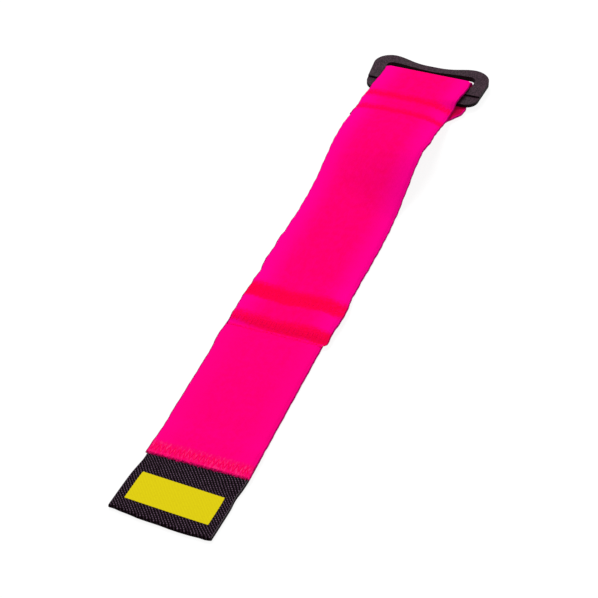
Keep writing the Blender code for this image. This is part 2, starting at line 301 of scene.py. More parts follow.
def ramp(tree, value, low, high):
    """0 below low, 1 above high, smooth between."""
    options = {"interpolation_type": "SMOOTHSTEP"}
    made = node(tree, "MapRange", options, Value=value, From_Min=low, From_Max=high)
    return made.outputs["Result"]


twill, given, result = new_group(
    "twill_ribs",
    [("Weave", "vector"), ("Period", "value")],
    [("Rib", "value"), ("Height", "value"), ("Fleck", "value")],
)
parts = node(twill, "SeparateXYZ", Vector=given["Weave"]).outputs
wander = node(twill, "TexNoise", Vector=given["Weave"], Scale=0.35, Detail=2.0).outputs["Fac"]
across_ribs = calc(twill, "MULTIPLY", parts["X"], TWILL_ACROSS)
along_ribs = calc(twill, "MULTIPLY", parts["Y"], TWILL_ALONG)
phase = calc(twill, "ADD", across_ribs, along_ribs)
phase = calc(twill, "MULTIPLY_ADD", wander, 0.55, phase)
phase = calc(twill, "MULTIPLY", calc(twill, "DIVIDE", phase, given["Period"]), 2 * math.pi)
rib = ramp(twill, calc(twill, "SINE", phase), 0.0, 0.95)
along_yarns = calc(twill, "MULTIPLY", parts["Y"], 0.95)
yarn_phase = calc(twill, "MULTIPLY_ADD", parts["X"], 0.30, along_yarns)
yarn_phase = calc(twill, "DIVIDE", yarn_phase, given["Period"])
yarn_phase = calc(twill, "MULTIPLY", yarn_phase, 2.2 * math.pi)
yarn = ramp(twill, calc(twill, "SINE", yarn_phase), -0.7, 0.7)
crossing = calc(twill, "MULTIPLY", rib, yarn)
specks = node(twill, "TexNoise", Vector=given["Weave"], Scale=1.9, Detail=2.0).outputs["Fac"]
fleck = calc(twill, "MULTIPLY", crossing, ramp(twill, specks, 0.32, 0.62))
height = calc(twill, "MULTIPLY_ADD", crossing, 0.35, rib)
for label, value in (("Rib", rib), ("Height", height), ("Fleck", fleck)):
    twill.links.new(value, result.inputs[label])


def steep(tree):
    """0 on faces that lie level, 1 on upright ones. It masks painted shade on upright faces."""
    normal = node(tree, "NewGeometry").outputs["Normal"]
    level = calc(tree, "ABSOLUTE", node(tree, "SeparateXYZ", Vector=normal).outputs["Z"])
    return calc(tree, "SUBTRACT", 1.0, ramp(tree, level, 0.70, 0.998))


tab_finish, tree = new_finish("black_twill")
weave_place = node(tree, "Attribute", {"attribute_name": "weave"}).outputs["Vector"]
ribs = node(tree, "Group", {"node_tree": twill}, Weave=weave_place, Period=TWILL_PERIOD).outputs
furrow, crest = (0.002, 0.0006, 0.0012, 1.0), (0.026, 0.009, 0.020, 1.0)
dark = blend_colours(tree, ribs["Rib"], furrow, crest)
flecked = blend_colours(tree, ribs["Fleck"], dark, (0.19, 0.125, 0.185, 1.0))
spot = node(tree, "SeparateXYZ", Vector=weave_place).outputs
from_middle = calc(tree, "ABSOLUTE", spot["X"])
# Painted highlight along the sealed edges, and painted shade on the side faces beyond them.
starts, ends = ramp(tree, from_middle, *SEALED_HIGHLIGHT_FROM), ramp(tree, from_middle, *SEALED_HIGHLIGHT_TO)
sealed_highlight = calc(tree, "MULTIPLY", calc(tree, "MULTIPLY", starts, ends), 0.8)
twill_painted_light = blend_colours(tree, sealed_highlight, flecked, (0.20, 0.17, 0.19, 1.0))
shaded = ramp(tree, from_middle, *EDGE_SHADE)
twill_painted_light = blend_colours(tree, shaded, twill_painted_light, (0.004, 0.002, 0.003, 1.0))
# Painted shade: upright faces, such as the fold at the near edge, are darkened.
painted_shade_upright = calc(tree, "MULTIPLY", steep(tree), 0.75)
twill_painted_light = blend_colours(tree, painted_shade_upright, twill_painted_light, (0.004, 0.001, 0.002, 1.0))
relief = node(tree, "Bump", Height=ribs["Height"], Strength=0.5, Distance=0.0002)
surface = node(
    tree, "BsdfPrincipled", Base_Color=twill_painted_light, Roughness=0.8, Normal=relief.outputs["Normal"],
    Specular_IOR_Level=0.025,
)
node(tree, "OutputMaterial", Surface=surface.outputs[0])


def pinched(along, size, back, reach):
    """How far the sewing pulls the tab's edge in. back is measured from the cut end."""
    return size * math.exp(-((along + back) / reach) ** 2)


def tab_point(along, left, height):
    """A point of the tab, which is turned a little to the left of the tie."""
    turned = ease(-along / TAB_TURN_LENGTH)
    sideways = HOOK_SIDE + max(-along, 0.0) * math.sin(TAB_TURN)
    back = min(along, 0.0) * math.cos(TAB_TURN) + max(along, 0.0)
    skew = left * math.sin(TAB_TURN) * turned
    share = 2.0 * left / TAB_WIDTH
    pinch = pinched(along, *LEFT_PINCH) * max(share, 0.0) ** 2
    pinch -= pinched(along, *RIGHT_PINCH) * min(share, 0.0) ** 2
    bow = NEAR_BOW * (1.0 - abs(share) ** 3) * (1.0 - BOW_SKEW * share)
    bow *= ease((-along - TAB_LENGTH + BOW_LENGTH) / BOW_LENGTH)
    sideways += left * mix(1.0, math.cos(TAB_TURN), turned) - pinch
    return place(back + skew - bow, sideways, height)


def tab_rows():
    """Stations of the tab: out on the lower ply, round the fold, and back on the upper ply."""
    radius = (TAB_PLY + TAB_PLY_GAP) / 2
    lower = TAB_PLY / 2
    upper = lower + 2 * radius
    fold_at = -TAB_LENGTH + radius + TAB_PLY / 2

    def flat_row(along, height):
        return lambda across: tab_point(along, across * TAB_WIDTH / 2, height)

    def fold_row(turn):
        height = lower + radius - radius * math.cos(turn)
        share = math.sin(turn)
        return lambda across: tab_point(
            fold_at - radius * share + waves(across, FOLD_RIPPLES) * share,
            across * TAB_WIDTH / 2, height,
        )

    rows = [flat_row(s, lower) for s in steps(TAB_LAP, 0.0, TAB_STEP)]
    rows += [flat_row(s, lower) for s in steps(0.0, fold_at, TAB_STEP)[1:-1]]
    rows += [fold_row(math.pi * i / TAB_FOLD_STEPS) for i in range(TAB_FOLD_STEPS + 1)]
    rows += [flat_row(s, upper) for s in steps(fold_at, -GAP, TAB_STEP)[1:]]
    return rows


def tab_half(i, across):
    return TAB_PLY / 2 - SKIN


tab_columns = [d * MM for d in (0.7, 1.4, 3.0, 6.0, 10.0, 15.0, 20.0)] + [TAB_WIDTH / 2]
grab_tab = cloth_strip("grab_tab", tab_rows(), TAB_WIDTH, tab_half, tab_half, tab_columns)
grab_tab.data.materials.append(tab_finish)
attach(grab_tab, "root")
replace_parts(grab_tab, "end_tab")


# The coloured panel is screen ink printed on the tab. It is a plain field here, a film of ink that
# follows the ribs of the twill under it, and its edges are a little ragged where they cross them.
PANEL_WIDTH = 41.4 * MM
PANEL_HEIGHT = 17.5 * MM
PANEL_MARGIN = 6.8 * MM
PANEL_CELLS = (36, 84)
AT_EDGE = 0.499
RAGGED_PRINT = 0.06 * MM
INK_THICKNESS = 0.12 * MM
INK_CLEARANCE = 0.01 * MM
INK_CREASE = math.radians(40)

panel_finish, tree = new_finish("yellow_ink")
weave_place = node(tree, "Attribute", {"attribute_name": "weave"}).outputs["Vector"]
ribs = node(tree, "Group", {"node_tree": twill}, Weave=weave_place, Period=TWILL_PERIOD).outputs
cover = node(tree, "TexNoise", Vector=weave_place, Scale=0.9, Detail=3.0).outputs["Fac"]
inked = blend_colours(tree, ribs["Rib"], (0.79, 0.655, 0.003, 1.0), (0.82, 0.69, 0.004, 1.0))
worn = calc(tree, "MULTIPLY", ramp(tree, cover, 0.45, 0.75), 0.4)
inked = blend_colours(tree, worn, inked, (0.72, 0.58, 0.004, 1.0))
relief = node(tree, "Bump", Height=ribs["Height"], Strength=0.06, Distance=0.00015)
surface = node(
    tree, "BsdfPrincipled", Base_Color=inked, Roughness=0.7, Normal=relief.outputs["Normal"],
    Specular_IOR_Level=0.03,
)
node(tree, "OutputMaterial", Surface=surface.outputs[0])

shape = bmesh.new()
weave = shape.verts.layers.float_vector.new("weave")
bmesh.ops.create_grid(shape, x_segments=PANEL_CELLS[0], y_segments=PANEL_CELLS[1], size=0.5)
for vert in shape.verts:
    along = -TAB_LENGTH + PANEL_MARGIN + (vert.co.x + 0.5) * PANEL_HEIGHT
    left = vert.co.y * PANEL_WIDTH
    ribs_crossed = (left * TWILL_ACROSS + along * TWILL_ALONG) / MM / TWILL_PERIOD
    ragged = RAGGED_PRINT * math.sin(2 * math.pi * ribs_crossed)
    if abs(vert.co.x) > AT_EDGE:
        along += ragged
    if abs(vert.co.y) > AT_EDGE:
        left += ragged
    vert.co = tab_point(along, left, 2 * TAB_PLY + TAB_PLY_GAP + INK_CLEARANCE)
    vert[weave] = (left / MM, along / MM, 1.0)
film = bmesh.ops.extrude_face_region(shape, geom=list(shape.faces))
lifted = [v for v in film["geom"] if isinstance(v, bmesh.types.BMVert)]
bmesh.ops.translate(shape, verts=lifted, vec=(0.0, 0.0, INK_THICKNESS))
bmesh.ops.recalc_face_normals(shape, faces=shape.faces)
panel_mesh = bpy.data.meshes.new("ink_panel")
shape.to_mesh(panel_mesh)
shape.free()
panel_mesh.shade_smooth()
panel_mesh.set_sharp_from_angle(angle=INK_CREASE)
ink_panel = add_object("ink_panel", panel_mesh)
ink_panel.data.materials.append(panel_finish)
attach(ink_panel, "root")
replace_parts(ink_panel, "printed_panel")


# The hook tape is a woven nylon strip with a smooth selvedge and close rows of short stiff hooks.
# It is cut straight across and laid with its cut end on the tab. The cut end frays a little over
# the twill, and the pile is pressed down there by the sewn row that holds it.
HOOK_WIDTH = 50.8 * MM
HOOK_LENGTH = 127.0 * MM
TAPE_THICKNESS = 1.8 * MM
TAB_RAMP = 12.0 * MM
TAB_ROW = 4.3 * MM
STITCH_THROW = 5.6 * MM
SELVEDGE = 0.9 * MM
SELVEDGE_FACE = 0.42 * MM
PILE_FACE = 0.9 * MM
PILE_RISE = 1.35 * MM
CUT_RAMP = 6.5 * MM
DIP_REACH = 3.4 * MM
DIP_FROM_EDGE = 3.0 * MM
HOOK_DIP = 0.35 * MM
HOOK_CUT_LEVEL = 0.15 * MM
HOOK_FINE_LENGTH = 30.0 * MM
HOOK_FINE_STEP = 0.9 * MM
HOOK_STEP = 2.4 * MM
HOOK_CRUSH_END = 6.0 * MM
HOOK_CRUSH_FADE = 4.0 * MM
STRAY_FROM = 0.3
EDGE_RIPPLES = ((1.1, 1.0), (2.7, 2.0))
HOOK_RIPPLE = 0.06
HOOK_LEFT_EDGE = ((16.0, 7.0, -0.75), (89.0, 8.0, 0.9))
HOOK_RIGHT_EDGE = ((0.0, 7.0, 0.6), (15.0, 6.0, 0.5))
FIBRE_COUNT = 420
FIBRE_RADIUS = 0.08 * MM
FIBRE_SPREAD = 0.975
FIBRE_ROOT = 0.8 * MM
FIBRE_DEPTH = 0.06 * MM
FIBRE_BEND = 0.1 * MM
FIBRE_REACH = (0.2, 0.9)
FIBRE_LEAN = 0.5
FIBRE_LIFT = (0.02, 0.15)
FIBRE_END_LIFT = (0.0, 0.12)
FIBRE_FALL = 0.35
LONG_FIBRES = 0.08
LONG_FIBRE = 1.8

pile, given, result = new_group(
    "fuzzy_pile",
    [("Weave", "vector"), ("Crush", "value"), ("Deep", "colour"), ("Bright", "colour"),
     ("Border", "colour"), ("Crushed", "colour"), ("Clump", "value"), ("Streak", "value"),
     ("Fray", "value")],
    [("Color", "colour"), ("Height", "value"), ("Roughness", "value")],
)
spot = node(pile, "SeparateXYZ", Vector=given["Weave"]).outputs


def pile_noise(vector, scale, detail, **more):
    made = node(pile, "TexNoise", Vector=vector, Scale=scale, Detail=detail, **more)
    return made.outputs["Fac"]


# Clumps, streaks and single fibres mottle the face, and a painted highlight makes it lighter
# towards the borders.
clumps = pile_noise(given["Weave"], given["Clump"], 3.0)
brushed = node(pile, "Mapping", Vector=given["Weave"], Scale=(1.0, 0.16, 1.0)).outputs[0]
streaks = pile_noise(brushed, 1.1, 4.0, Roughness=0.62)
fibres = pile_noise(given["Weave"], 2.6, 4.0, Roughness=0.7, Distortion=0.8)
streaks = calc(pile, "MULTIPLY", calc(pile, "SUBTRACT", streaks, 0.5), given["Streak"])
mottle = calc(pile, "SUBTRACT", fibres, 0.5)
mottle = calc(pile, "MULTIPLY_ADD", mottle, 0.9, calc(pile, "ADD", clumps, streaks))
plain = blend_colours(pile, ramp(pile, mottle, 0.22, 0.80), given["Deep"], given["Bright"])
lit_border = ramp(pile, calc(pile, "ABSOLUTE", spot["X"]), 9.0, 24.0)
plain = blend_colours(pile, lit_border, plain, given["Border"])

# Pressed pile is redder and darker, unevenly so, the darkening partly painted shade in the sewn
# dents, and loose fibres lie over it where the tape frays.
patches = calc(pile, "SUBTRACT", pile_noise(given["Weave"], 0.8, 3.0), 0.5)
uneven = ramp(pile, calc(pile, "ADD", patches, given["Crush"]), 0.05, 1.0)
pressed_and_shaded = calc(pile, "MINIMUM", uneven, calc(pile, "MULTIPLY", given["Crush"], 4.0))
tinted = blend_colours(pile, pressed_and_shaded, plain, given["Crushed"])
combed = node(
    pile, "Mapping", Vector=given["Weave"], Rotation=(0.0, 0.0, 0.35), Scale=(1.5, 0.35, 1.0)
).outputs[0]
loose = ramp(pile, pile_noise(combed, 1.3, 3.0, Roughness=0.7), 0.50, 0.68)
loose = calc(pile, "MULTIPLY", calc(pile, "MULTIPLY", loose, given["Fray"]), pressed_and_shaded)
tinted = blend_colours(pile, loose, tinted, (1.0, 0.04, 0.25, 1.0))

# The rim is dark, partly from the selvedge and partly painted shade, stronger on the left. The back
# is a plain weave without pile, a duller pink darkened partly with painted shade.
painted_rim_shade = calc(pile, "SUBTRACT", 1.0, ramp(pile, calc(pile, "ABSOLUTE", spot["Z"]), 0.15, 0.85))
painted_rim_shade = calc(pile, "MULTIPLY", painted_rim_shade, calc(pile, "MULTIPLY_ADD", spot["X"], 0.006, 0.80))
tinted = blend_colours(pile, painted_rim_shade, tinted, (0.16, 0.002, 0.07, 1.0))
warp = calc(pile, "SINE", calc(pile, "MULTIPLY", spot["X"], 2 * math.pi / 1.3))
weft = calc(pile, "SINE", calc(pile, "MULTIPLY", spot["Y"], 2 * math.pi / 1.1))
backing = calc(pile, "MULTIPLY_ADD", calc(pile, "MULTIPLY", warp, weft), 0.5, 0.5)
under = ramp(pile, spot["Z"], -0.6, -0.9)
valley, knot = (0.42, 0.0008, 0.038, 1.0), (0.66, 0.001, 0.072, 1.0)
tinted = blend_colours(pile, under, tinted, blend_colours(pile, backing, valley, knot))
relief = calc(pile, "MULTIPLY_ADD", clumps, 0.5, fibres)
relief = calc(pile, "MULTIPLY_ADD", streaks, 0.8, relief)
relief = calc(pile, "MULTIPLY", relief, calc(pile, "SUBTRACT", 1.0, under))
relief = calc(pile, "ADD", relief, calc(pile, "MULTIPLY", backing, under))
pile.links.new(tinted, result.inputs["Color"])
pile.links.new(relief, result.inputs["Height"])
pile.links.new(calc(pile, "MULTIPLY_ADD", fibres, 0.25, 0.68), result.inputs["Roughness"])


def cloth_finish(name, colours, clump, streak, fray, bump, painted_glow):
    """A finish of dyed pile: deep and bright colours, a painted highlight at the borders, a crushed
    colour partly painted shade, and a painted glow, partly for the fluorescent dye.
    """
    made, tree = new_finish(name)
    deep, bright, lit_border, crushed_and_shaded = [(*colour, 1.0) for colour in colours]
    at = node(tree, "Attribute", {"attribute_name": "weave"}).outputs["Vector"]
    crush = node(tree, "Attribute", {"attribute_name": "crush"}).outputs["Fac"]
    look = node(
        tree, "Group", {"node_tree": pile}, Weave=at, Crush=crush, Deep=deep, Bright=bright,
        Border=lit_border, Crushed=crushed_and_shaded, Clump=clump, Streak=streak, Fray=fray,
    ).outputs
    relief = node(tree, "Bump", Height=look["Height"], Strength=bump, Distance=0.0003)
    surface = node(
        tree, "BsdfPrincipled", Base_Color=look["Color"], Roughness=look["Roughness"],
        Normal=relief.outputs["Normal"], Specular_IOR_Level=0.0,
        Emission_Color=look["Color"], Emission_Strength=painted_glow,
    )
    node(tree, "OutputMaterial", Surface=surface.outputs[0])
    return made


# Deep, bright, painted highlight at the borders, and a crushed colour darkened partly with painted
# shade.
hook_colours = (
    (0.96, 0.0004, 0.165), (1.0, 0.0004, 0.205), (1.0, 0.0005, 0.218), (0.97, 0.0015, 0.145),
)
hook_finish = cloth_finish(
    "pink_hook_tape", hook_colours, clump=0.5, streak=0.5, fray=0.8, bump=0.35, painted_glow=0.10
)


def stray(along, across, left_edge, right_edge, ripple):
    """How far a soft tape strays to the left. Each bump of an edge is its place, reach and size.

    Bumps and ripples are in millimetres, and fade out towards the middle of the tape.
    """
    at = along / MM
    if abs(across) < STRAY_FROM:
        return 0.0
    bumps = left_edge if across > 0.0 else right_edge
    outwards = sum(size * math.exp(-((at - centre) / reach) ** 2) for centre, reach, size in bumps)
    outwards += ripple * sum(math.sin(at / long + turn * across) for long, turn in EDGE_RIPPLES)
    share = (abs(across) - STRAY_FROM) / (1.0 - STRAY_FROM)
    return math.copysign(share, across) * outwards * MM


def hook_row(along):
    """One station of the hook tape. Its near part lies on the tab, and the rest on the floor."""
    on_tab = 1.0 - ease((along - TAB_LAP - GAP) / TAB_RAMP)
    middle = (TAB_PLY + GAP) * on_tab + TAPE_THICKNESS / 2

    def point(across):
        strayed = stray(along, across, HOOK_LEFT_EDGE, HOOK_RIGHT_EDGE, HOOK_RIPPLE)
        return place(along, HOOK_SIDE + across * HOOK_WIDTH / 2 + strayed, middle)

    return point


def sewn_dip(along, rows, reach=DIP_REACH):
    """How far a sewn row has pulled the cloth down, from 0 to 1."""
    return max((math.exp(-((along - row) / reach) ** 2) for row in rows), default=0.0)


def tape_face(width, along, across, rows, dip, cut, cut_level):
    """A tape's outer face: low on the selvedge and at the cut end, and pulled down at sewn rows."""
    from_edge = width / 2 * (1.0 - abs(across))
    full = mix(SELVEDGE_FACE, PILE_FACE, ease((from_edge - SELVEDGE) / PILE_RISE))
    pull = dip * sewn_dip(along, rows) * ease(from_edge / DIP_FROM_EDGE)
    return mix(cut_level, full - pull, ease((along - cut) / CUT_RAMP))


def hook_face(along, across):
    return tape_face(HOOK_WIDTH, along, across, (TAB_ROW,), HOOK_DIP, 0.0, HOOK_CUT_LEVEL)


hook_places = steps(0.0, HOOK_FINE_LENGTH, HOOK_FINE_STEP)
hook_places += steps(HOOK_FINE_LENGTH, HOOK_LENGTH, HOOK_STEP)[1:]


def hook_outer(i, across):
    return hook_face(hook_places[i], across)


def flat_inner(i, across):
    return TAPE_THICKNESS / 2 - SKIN


def hook_crush(i, across):
    return 1.0 - ease((hook_places[i] - HOOK_CRUSH_END) / HOOK_CRUSH_FADE)


tape_columns = [d * MM for d in (0.7, 1.1, 1.6, 2.2, 3.2, 4.8, 7.2, 10.5, 14.0, 18.0, 22.0)]
hook_strip = cloth_strip(
    "hook_strip", [hook_row(s) for s in hook_places], HOOK_WIDTH, hook_outer, flat_inner,
    tape_columns + [HOOK_WIDTH / 2], hook_crush,
)
hook_strip.data.materials.append(hook_finish)
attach(hook_strip, "root")
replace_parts(hook_strip, "hook_tape")


def as_mesh(drawn):
    """The mesh of an object as it is drawn, with its modifiers or curve settings."""
    drawn_now = drawn.evaluated_get(bpy.context.evaluated_depsgraph_get())
    return bpy.data.meshes.new_from_object(drawn_now)


def strands(name, paths, radius, finish):
    """A piece made of many thin round strands, each along its own path."""
    drawn_paths = bpy.data.curves.new(name, "CURVE")
    drawn_paths.dimensions = "3D"
    drawn_paths.bevel_depth = radius
    drawn_paths.bevel_resolution = 1
    drawn_paths.use_fill_caps = True
    for path in paths:
        spline = drawn_paths.splines.new("POLY")
        spline.points.add(len(path) - 1)
        for point, spot in zip(spline.points, path):
            point.co = (*spot, 1.0)
    drawn = add_object(name + "_path", drawn_paths)
    mesh = as_mesh(drawn)
    bpy.data.objects.remove(drawn)
    mesh.name = name
    mesh.shade_smooth()
    mesh.materials.clear()
    mesh.materials.append(finish)
    made = add_object(name, mesh)
    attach(made, "root")
    return made


def yarn_finish(name, dark, light, painted_glow):
    """A finish of loose dyed yarn, mottled between two colours, with a painted glow that lights it
    without a lamp.
    """
    made, tree = new_finish(name)
    at = node(tree, "TexCoord").outputs["Object"]
    tangle = node(tree, "TexNoise", Vector=at, Scale=900.0, Detail=2.0).outputs["Fac"]
    look = blend_colours(tree, ramp(tree, tangle, 0.35, 0.65), (*dark, 1.0), (*light, 1.0))
    surface = node(
        tree, "BsdfPrincipled", Base_Color=look, Roughness=0.8, Specular_IOR_Level=0.0,
        Emission_Color=look, Emission_Strength=painted_glow,
    )
    node(tree, "OutputMaterial", Surface=surface.outputs[0])
    return made


fray_finish = yarn_finish(
    "pink_frayed_yarn", dark=(0.32, 0.0008, 0.06), light=(0.80, 0.008, 0.16), painted_glow=0.0
)


def cut_fibres(name, along, side, width, root, rest, finish):
    """Loose fibres at a cut end. root gives the cloth's height across, rest what they lie on."""
    chance = random.Random(name)
    low = rest + FIBRE_RADIUS
    paths = []
    for i in range(FIBRE_COUNT):
        across = chance.uniform(-FIBRE_SPREAD, FIBRE_SPREAD)
        left = side + across * width / 2
        reach = chance.uniform(*FIBRE_REACH) * MM
        reach *= LONG_FIBRE if chance.random() < LONG_FIBRES else 1.0
        lean = chance.uniform(-FIBRE_LEAN, FIBRE_LEAN) * MM
        bent = mix(root(across), low, FIBRE_FALL) + chance.uniform(*FIBRE_LIFT) * MM
        loose_end = low + chance.uniform(*FIBRE_END_LIFT) * MM
        paths.append([
            place(along + FIBRE_ROOT, left, root(across) - FIBRE_DEPTH),
            place(along + FIBRE_BEND, left + 0.2 * lean, bent),
            place(along - 0.5 * reach, left + 0.6 * lean, loose_end),
            place(along - reach, left + lean, low),
        ])
    return strands(name, paths, FIBRE_RADIUS, finish)


def hook_top(along, across):
    return TAB_PLY + GAP + TAPE_THICKNESS / 2 + hook_face(along, across)


cut_fibres(
    "hook_end_fibres", 0.0, HOOK_SIDE, HOOK_WIDTH, lambda across: hook_top(FIBRE_ROOT, across),
    2 * TAB_PLY + TAB_PLY_GAP, fray_finish,
)


# The thread at the tab is polyester, sewn zigzag from hole to hole right across the tape. It sinks
# into the pile, so only the crowns of the stitches show. A row is one piece of many short runs, and
# there is one on each side of the cloth.
THREAD_RADIUS = 0.18 * MM
STITCH_PITCH = 2.4 * MM
ROW_MARGIN = 1.6 * MM
HOLE_STRAY_ACROSS = 0.15
HOLE_STRAY_ALONG = 0.25
# How deep the thread lies below its crown, in millimetres, by its share of the way between holes.
STITCH_SAG = (
    (0.02, 0.45), (0.1, 0.12), (0.3, 0.03), (0.5, 0.0), (0.7, 0.03), (0.9, 0.12), (0.98, 0.45),
)
UNDER_FACE = 0.14 * MM

thread_finish, tree = new_finish("pink_thread")
at = node(tree, "TexCoord").outputs["Object"]
twist = node(tree, "TexNoise", Vector=at, Scale=1600.0, Detail=2.0).outputs["Fac"]
thread_look = blend_colours(tree, twist, (0.90, 0.0005, 0.070, 1.0), (1.0, 0.0008, 0.105, 1.0))
relief = node(tree, "Bump", Height=twist, Strength=0.4, Distance=0.0001)
# The thread's emission is a painted glow that lights it without a lamp.
surface = node(
    tree, "BsdfPrincipled", Base_Color=thread_look, Roughness=0.6, Normal=relief.outputs["Normal"],
    Specular_IOR_Level=0.0, Emission_Color=thread_look, Emission_Strength=0.14,
)
node(tree, "OutputMaterial", Surface=surface.outputs[0])


def thread_row(name, row, width, side, face, sunk=-1.0):
    """One zigzag row on a face of the cloth. sunk is -1 on an upper face, and 1 on a lower one."""
    chance = random.Random(name)
    length = width - 2 * ROW_MARGIN
    count = 2 * round(length / STITCH_PITCH)
    holes = []
    for i in range(count + 1):
        left = mix(length / 2, -length / 2, i / count)
        left += chance.uniform(-HOLE_STRAY_ACROSS, HOLE_STRAY_ACROSS) * MM
        throw = STITCH_THROW / 2 if i % 2 else -STITCH_THROW / 2
        throw += chance.uniform(-HOLE_STRAY_ALONG, HOLE_STRAY_ALONG) * MM
        holes.append((row + throw, left))
    runs = []
    for (along_a, left_a), (along_b, left_b) in zip(holes, holes[1:]):
        run = []
        for t, sag in STITCH_SAG:
            along, left = mix(along_a, along_b, t), mix(left_a, left_b, t)
            height = face(along, left / (width / 2)) + sunk * sag * MM
            run.append(place(along, side + left, height))
        runs.append(run)
    return strands(name, runs, THREAD_RADIUS, thread_finish)


def resting_face(along, across):
    """The thread's height under cloth that lies on the floor."""
    return UNDER_FACE


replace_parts(thread_row("tab_thread", TAB_ROW, HOOK_WIDTH, HOOK_SIDE, hook_top), "tab_stitches")
thread_row("tab_thread_under", TAB_ROW, HOOK_WIDTH, HOOK_SIDE, resting_face, sunk=1.0)


# The loop tape is a knitted strip with a soft brushed face. It is sewn over the hook tape, arches
# freely, then goes over the ring, round its rail and back under, where its tail is sewn to it.
LOOP_WIDTH = 51.6 * MM
LOOP_START = 97.0 * MM
RING_DISTANCE = 319.9 * MM
RAIL_END = RING_DISTANCE + 15.8 * MM
FOLD_CENTRE = RAIL_END + 3.3 * MM
OVER_RING = 5.4 * MM
LAP_ROWS = (101.8 * MM, 122.2 * MM)
RING_ROW = 309.7 * MM
RING_ROWS = (RING_ROW - 17.9 * MM, RING_ROW)
SEWN_END = RING_ROW + STITCH_THROW / 2
RING_ENTRY = RING_DISTANCE - 1.0 * MM
TAIL_END = RING_ROWS[0] - 6.5 * MM
LAP_RAMP = 18.0 * MM
LEFT_ARCH = (8.9 * MM, 108.0 * MM, 52.0 * MM, 4.2 * MM)
RIGHT_ARCH = (12.4 * MM, 118.0 * MM, 65.0 * MM, 2.5 * MM)
CROWN_HEIGHT = 3.0 * MM
CROWN_LENGTH = 105.0 * MM
LOOP_SIDE = 2.5 * MM
FOLD_SIDE = 0.4 * MM
TAIL_SIDE = -2.9 * MM
TAIL_END_SIDE = 4.0 * MM
TAIL_JOG = RING_ROW - 14.0 * MM
TAIL_JOG_LENGTH = 26.0 * MM
TAIL_SETTLED = 0.5
LOOP_STEP = 1.3 * MM
LOOP_FOLD_STEPS = 16
LOOP_DIP = 0.42 * MM
LOOP_CUT_LEVEL = -1.08 * MM
LOOP_CUT_WIDTH = 0.993
LOOP_CUT_WAVES = ((0.35 * MM, 11.0, 0.0), (0.22 * MM, 29.0, 2.0))
LOOP_START_RAMP = 9.0 * MM
CRUSH_WANDER = ((0.8 * MM, 5.0, 1.0), (0.5 * MM, 13.0, 0.0))
# Bands of pressed pile, darkened partly with painted shade: start and end, then how far they rise
# and fall. The near one starts askew.
NEAR_CRUSH = (103.0 * MM, 2.5 * MM, 6.5 * MM)
FAR_CRUSH = (120.0 * MM, 125.0 * MM, 4.0 * MM, 9.0 * MM)
RING_CRUSH = 0.72
RING_CRUSH_REACH = 4.6 * MM
LOOP_RIPPLE = 0.09
TAIL_RIPPLE = 0.12
LOOP_LEFT_EDGE = (
    (129.0, 5.0, -0.4), (140.0, 5.0, -0.5), (152.0, 13.0, 0.9), (171.0, 5.0, 0.6),
    (198.0, 10.0, -0.35), (252.0, 20.0, 0.5), (305.0, 9.0, 0.95),
)
LOOP_RIGHT_EDGE = (
    (101.0, 5.0, 0.9), (121.0, 14.0, 1.95), (170.0, 22.0, 0.6), (190.0, 14.0, 0.4),
    (267.0, 8.0, 0.9), (334.0, 12.0, 0.7),
)
TAIL_RIGHT_EDGE = ((314.0, 6.0, 1.4), (326.0, 4.0, -0.6))


def edge_lift(along, height, start, peak, sewn_height):
    """Height of one edge in the arch; start and peak are measured back from the ring."""
    start_at = RING_DISTANCE - start
    peak_at = RING_DISTANCE - peak
    if along < peak_at:
        return height * ease((along - start_at) / (peak_at - start_at))
    return mix(height, sewn_height, ease((along - peak_at) / (SEWN_END - peak_at)))


def loop_side(along):
    return mix(LOOP_SIDE, FOLD_SIDE, ease((along - RING_ROW) / (FOLD_CENTRE - RING_ROW)))


def loop_height(along, across):
    """Middle surface of the run on top."""
    across = min(max(across, -1.0), 1.0)
    left = edge_lift(along, *LEFT_ARCH)
    right = edge_lift(along, *RIGHT_ARCH)
    lap = (TAPE_THICKNESS + GAP) * (1.0 - ease((along - HOOK_LENGTH - GAP) / LAP_RAMP))
    crown = CROWN_HEIGHT * ease((along - HOOK_LENGTH) / CROWN_LENGTH)
    free = lap + mix(right, left, (across + 1.0) / 2.0) + crown * (1.0 - across * across)
    onto_ring = ease((along - SEWN_END) / (RING_ENTRY - SEWN_END))
    return mix(free, OVER_RING, onto_ring) + TAPE_THICKNESS / 2


def tail_side(along):
    out = mix(TAIL_END_SIDE, TAIL_SIDE, ease((along - TAIL_JOG) / TAIL_JOG_LENGTH))
    settled = TAIL_SETTLED * ease((along - RING_DISTANCE) / (FOLD_CENTRE - RING_DISTANCE))
    return mix(out, FOLD_SIDE, settled)


def tail_height(along, across):
    """Middle surface of the tail: flat under the ring, then against the top run."""
    above = (tail_side(along) + across * LOOP_WIDTH / 2 - loop_side(along)) / (LOOP_WIDTH / 2)
    sewn = loop_height(along, above) - TAPE_THICKNESS - GAP
    return mix(sewn, TAPE_THICKNESS / 2, ease((along - SEWN_END) / (RING_ENTRY - SEWN_END)))


